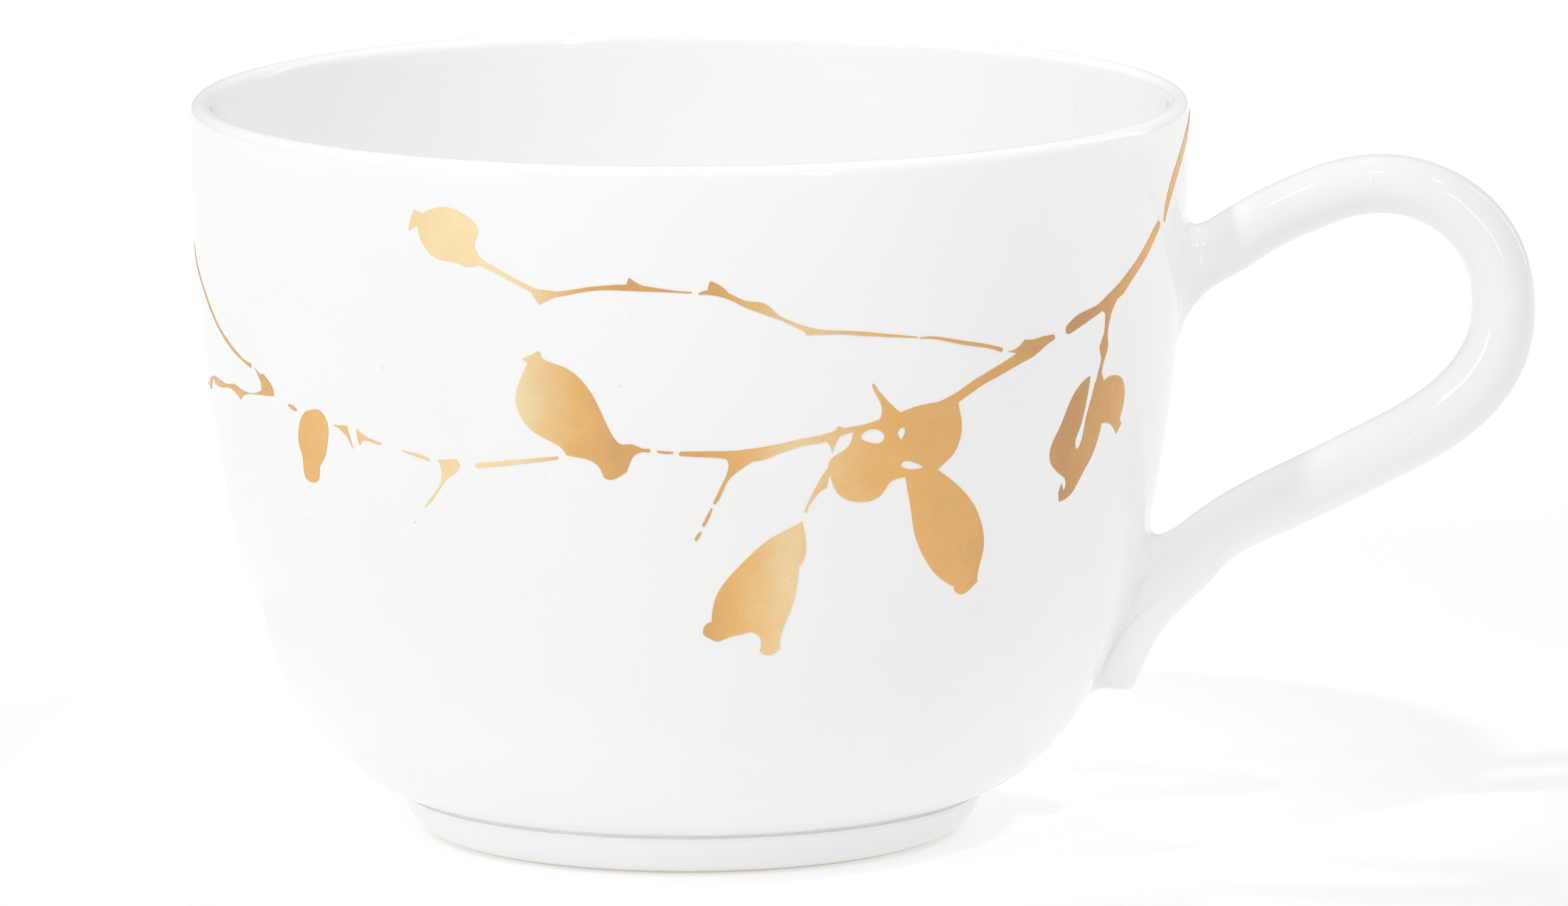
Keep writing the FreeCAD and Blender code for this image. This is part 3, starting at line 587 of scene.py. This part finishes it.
def goldMaterial(name):
    # Fired gold. Colour = from pale through rich to the painted shade, by a tone that changes round the bowl,
    # which paints reflection and shade into the colour, and drifts with noise, under dark grains. Gloss =
    # satin, broken by fine grain. Bump = burnishing grain on shallow brush ripples.
    material, wires = newMaterial(name)
    place = placeInMillimetres(wires)
    slow = noise(wires, place, 0.30, 3.0)
    mid = noise(wires, place, 1.1, 3.0)
    grain = noise(wires, place, 6.0, 3.0)
    right, front = alongAxis(wires, place, (1, 0, 0)), alongAxis(wires, place, (0, -1, 0))
    turn = wires.math("ARCTAN2", right, front) * (0.5 / math.pi) + 0.5
    # painted reflection and shade: the tone is read from where round the bowl the place lies
    paintedSheenAndDrift = wires.node("ShaderNodeValToRGB", {"stops": gold["round"]}, {"Fac": turn})
    paintedSheenAndDrift = paintedSheenAndDrift + (slow - 0.5) * 0.25 + (mid - 0.5) * 0.12
    colour = mixColour(wires, paintedSheenAndDrift * 2, gold["pale"], gold["rich"])
    # painted shade: the tone's upper half leads to the darkest gold
    colour = mixColour(wires, paintedSheenAndDrift * 2 - 1, colour, gold["paintedShadeGold"])
    colour = mixColour(wires, fade(wires, grain, 0.58, 0.80) * 0.35, colour, gold["grain"])
    roughness = 0.26 + mid * 0.12 + grain * 0.14
    ripple = mid * 0.5 + grain * 0.35
    bump = wires.node("ShaderNodeBump", {}, {"Strength": 0.5, "Distance": 0.03 * metres, "Height": ripple})
    finishMaterial(wires, {"Base Color": colour, "Roughness": roughness, "Normal": bump, "Metallic": 1.0})
    return material


neverBare = -9.0               # a height below the whole cup
bowlGlaze = glazeMaterial("bowlGlaze", 4.0, 14.0, neverBare)
footGlaze = glazeMaterial("footGlaze", 1.0, 5.0, 0.35)
handleGlaze = glazeMaterial("handleGlaze", 9.0, 16.0, neverBare)
firedGold = goldMaterial("firedGold")
print("materials made")

points, faces = turned(bowlProfile(), bowl["segments"])
makePiece("bowlBody", points, faces, ["cup_bowl"], bowlGlaze)
points, faces = turnedRing(ringProfile(), ring["segments"])
makePiece("footRing", points, faces, ["foot_ring", "foot_slip_joint"], footGlaze)
points, faces = handleMesh()
handleNodes = ["handle", "upper_slip_joint", "lower_slip_joint"]
makePiece("loopHandle", points, faces, handleNodes, handleGlaze)

for nodeName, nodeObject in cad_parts.items():
    if nodeName.startswith("gold_"):
        nodeObject.data.materials.clear()
        nodeObject.data.materials.append(firedGold)
print("gold laid on")


# Floor, lights and camera
studio = {
    "floorHalf": 4.0,
    "floor": (0.72, 0.72, 0.72, 1),
    "floorGlow": 0.50,         # the floor is a lit table, so that shadows stay faint
    "glowAlong": (-0.35, 1, 0),
    "glowFrom": -300,          # millimetres that way, from the cup's axis
    "glowTo": 250,
    "nearGlow": (0.56, 0.56, 0.56, 1),
    "farGlow": (1, 1, 1, 1),
    "world": (1.0, 1.0, 1.0, 1),
    "worldStrength": 0.635,
    "spotAim": (0.006, 0.008, 0.062),
    "spotDistance": 1.0,
    "spotCone": 4.2,           # degrees, so that the light stays in the bowl
    "spotBlend": 0.35,
    "spotSoft": 0.06,
    # Name, azimuth, elevation and power
    "spots": [
        ("spotLeft", -40, 55, 25.5),
        ("spotRight", 50, 55, 26.5),
        ("spotFront", 5, 60, 5),
        ("spotBack", 180, 60, 16),
    ],
    "boxAim": (0, 0, 0.035),
    # Name, azimuth, elevation, distance, width, height and power
    "softboxes": [
        ("keyLeft", -48, 22, 1.3, 0.30, 0.9, 2.5),
        ("sideLeft", -80, 20, 1.3, 0.3, 0.9, 0.4),
        ("frontRight", 30, 18, 1.4, 0.10, 0.8, 0.8),
        ("backRight", 126, 22, 1.3, 0.2, 0.9, 0.6),
    ],
}


def makeFloor():
    # Pale paper. Glow = from near to far, eased along one level direction. Bump = fine fibres.
    half = studio["floorHalf"]
    mesh = bpy.data.meshes.new("floor")
    corners = [(-half, -half, 0), (half, -half, 0), (half, half, 0), (-half, half, 0)]
    mesh.from_pydata(corners, [], [(0, 1, 2, 3)])
    floor = bpy.data.objects.new("floor", mesh)
    bpy.context.scene.collection.objects.link(floor)
    material, wires = newMaterial("floorPaper")
    place = placeInMillimetres(wires)
    fibre = noise(wires, place, 0.8, 3.0)
    along = alongAxis(wires, place, studio["glowAlong"])
    farther = fade(wires, along, studio["glowFrom"], studio["glowTo"])
    glow = mixColour(wires, farther, studio["nearGlow"], studio["farGlow"])
    bump = wires.node("ShaderNodeBump", {}, {"Strength": 0.1, "Distance": 0.05 * metres, "Height": fibre})
    finishMaterial(wires, {"Base Color": studio["floor"], "Roughness": 0.8, "Normal": bump,
                           "Emission Color": glow, "Emission Strength": studio["floorGlow"]})
    floor.data.materials.append(material)


def directionOf(azimuth, elevation):
    # Unit vector. Azimuth 0 is the front, and grows towards the handle.
    turn, lift = math.radians(azimuth), math.radians(elevation)
    return Vector((math.sin(turn) * math.cos(lift), -math.cos(turn) * math.cos(lift), math.sin(lift)))


def hangLight(light, aim, away):
    # Hangs a light that far away from the point that it faces.
    lamp = bpy.data.objects.new(light.name, light)
    lamp.location = Vector(aim) + away
    lamp.rotation_euler = (-away).to_track_quat("-Z", "Y").to_euler()
    bpy.context.scene.collection.objects.link(lamp)


def makeLights():
    # Soft spots that light the inside of the bowl, and soft boxes round the cup.
    for name, azimuth, elevation, power in studio["spots"]:
        light = bpy.data.lights.new(name, "SPOT")
        light.energy = power
        light.spot_size, light.spot_blend = math.radians(studio["spotCone"]), studio["spotBlend"]
        light.shadow_soft_size = studio["spotSoft"]
        hangLight(light, studio["spotAim"], directionOf(azimuth, elevation) * studio["spotDistance"])
    for name, azimuth, elevation, distance, width, height, power in studio["softboxes"]:
        light = bpy.data.lights.new(name, "AREA")
        light.shape = "RECTANGLE"
        light.size, light.size_y = width, height
        light.energy = power
        hangLight(light, studio["boxAim"], directionOf(azimuth, elevation) * distance)


def makeWorld():
    world = bpy.data.worlds.new("studioWorld")
    bpy.context.scene.world = world
    world.use_nodes = True
    background = world.node_tree.nodes["Background"]
    background.inputs["Color"].default_value = studio["world"]
    background.inputs["Strength"].default_value = studio["worldStrength"]


camera = {
    "lens": 318.15,
    "sensor": 36.0,
    "distance": 1.2515,
    "elevation": 0.1654,
    "roll": -0.0037,
    "aim": (0.008375, 0.0, 0.03408),
    "clip": (0.05, 50),
}


def makeCamera():
    data = bpy.data.cameras.new("camera")
    data.lens, data.sensor_width = camera["lens"], camera["sensor"]
    data.clip_start, data.clip_end = camera["clip"]
    view = bpy.data.objects.new("camera", data)
    lift, roll = camera["elevation"], camera["roll"]
    forward = Vector((0, math.cos(lift), -math.sin(lift)))
    right = Vector((1, 0, 0))
    up = right.cross(forward)
    turnedRight = right * math.cos(roll) + up * math.sin(roll)
    turnedUp = up * math.cos(roll) - right * math.sin(roll)
    place = Vector(camera["aim"]) - forward * camera["distance"]
    axes = Matrix((turnedRight, turnedUp, -forward)).transposed()
    view.matrix_world = Matrix.Translation(place) @ axes.to_4x4()
    bpy.context.scene.collection.objects.link(view)
    bpy.context.scene.camera = view


makeFloor()
makeLights()
makeWorld()
bpy.context.scene.view_settings.view_transform = "Standard"
bpy.context.scene.view_settings.look = "None"
makeCamera()
print("studio set")
